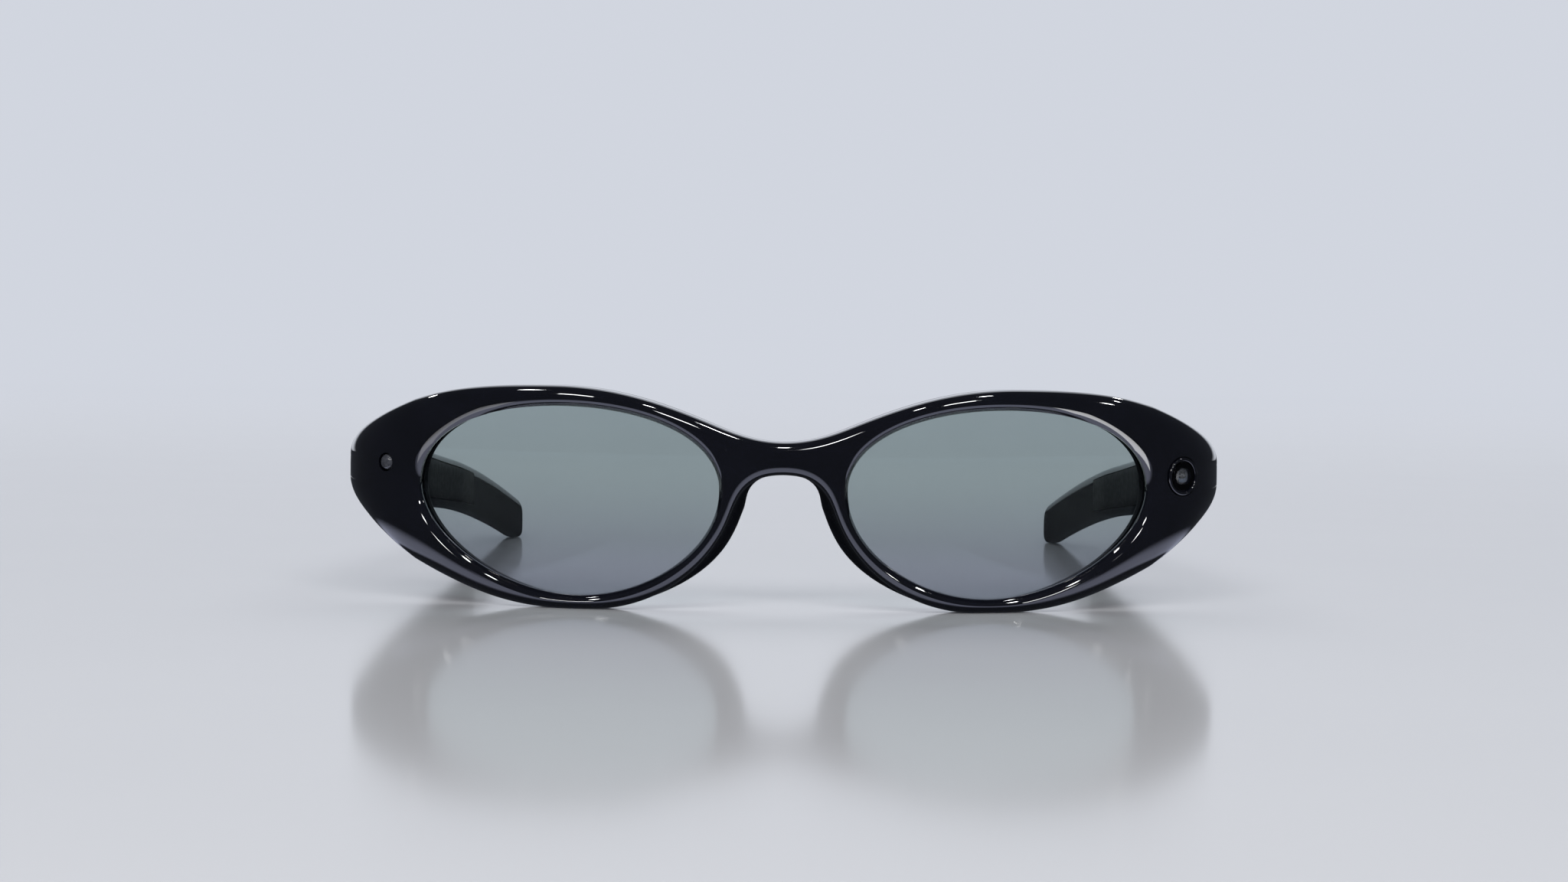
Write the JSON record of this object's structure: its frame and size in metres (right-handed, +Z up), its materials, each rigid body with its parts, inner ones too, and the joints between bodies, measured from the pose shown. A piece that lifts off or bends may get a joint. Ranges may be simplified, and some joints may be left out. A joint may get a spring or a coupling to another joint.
{
  "type": "smart glasses",
  "caption": "Smart glasses with a glossy black wrapped front, tinted oval lenses, a corner camera and recording light, and folding temples that hold the battery, board and speakers.",
  "frame": {"origin": "on the table under the middle of the open glasses", "axes": "+Z up, -Y the way the wearer looks, +X to the wearer's left"},
  "size_m": [0.15, 0.1593, 0.0368],
  "materials": {
    "gloss_black": "polished",
    "satin_black": "satin",
    "lens_tint": "polished, grey-green tint",
    "camera_glass": "coated",
    "light_pipe": "frosted",
    "steel": "brushed",
    "gold": "gold plated",
    "circuit_board": "solder mask",
    "flex": "film",
    "battery": "foil",
    "dark_plastic": "moulded"
  },
  "bodies": {
    "front": {"front_frame": "gloss_black", "rear_frame": "gloss_black", "left_lens": "lens_tint", "right_lens": "lens_tint", "camera_bezel": "gloss_black", "camera_window": "camera_glass", "camera_barrel": "camera_glass", "camera_sensor": "circuit_board", "light_pipe": "light_pipe", "light_board": "circuit_board", "brow_ribbon": "flex", "left_charging_pin": "gold", "right_charging_pin": "gold", "left_front_hinge_leaf": "steel", "right_front_hinge_leaf": "steel", "left_hinge_screw": "steel", "right_hinge_screw": "steel", "left_hinge_cable": "flex", "right_hinge_cable": "flex"},
    "left_temple": {"left_temple_shell": "gloss_black", "left_temple_cover": "satin_black", "left_temple_hinge_leaf": "steel", "left_speaker": "dark_plastic", "left_speaker_mesh": "steel", "left_microphone": "steel", "battery": "battery", "slider_switch": "dark_plastic"},
    "right_temple": {"right_temple_shell": "gloss_black", "right_temple_cover": "satin_black", "right_temple_hinge_leaf": "steel", "right_speaker": "dark_plastic", "right_speaker_mesh": "steel", "right_microphone": "steel", "main_board": "circuit_board", "shield_can": "steel", "touch_sensor": "flex", "button_switch": "steel"},
    "power_slider": {"power_slider": "satin_black"},
    "capture_button": {"capture_button": "satin_black"}
  },
  "joints": [
    {"name": "left_temple_hinge", "type": "hinge", "parent": "front", "child": "left_temple", "pos_m": [0.06508, -0.05243, 0.0226], "axis": [0, 0, 1], "range_deg": [0, 90], "deforming": ["left_hinge_cable"]},
    {"name": "right_temple_hinge", "type": "hinge", "parent": "front", "child": "right_temple", "pos_m": [-0.06508, -0.05243, 0.0226], "axis": [0, 0, -1], "range_deg": [0, 80], "deforming": ["right_hinge_cable"]},
    {"name": "capture_button_press", "type": "slide", "parent": "right_temple", "child": "capture_button", "axis": [-0.0036, -0.1044, -0.9945], "range_m": [0, 0.0005], "stiffness_N_per_m": 800},
    {"name": "power_slider_slide", "type": "slide", "parent": "left_temple", "child": "power_slider", "axis": [-0.0209, 0.9943, -0.1044], "range_m": [0, 0.002]}
  ]
}
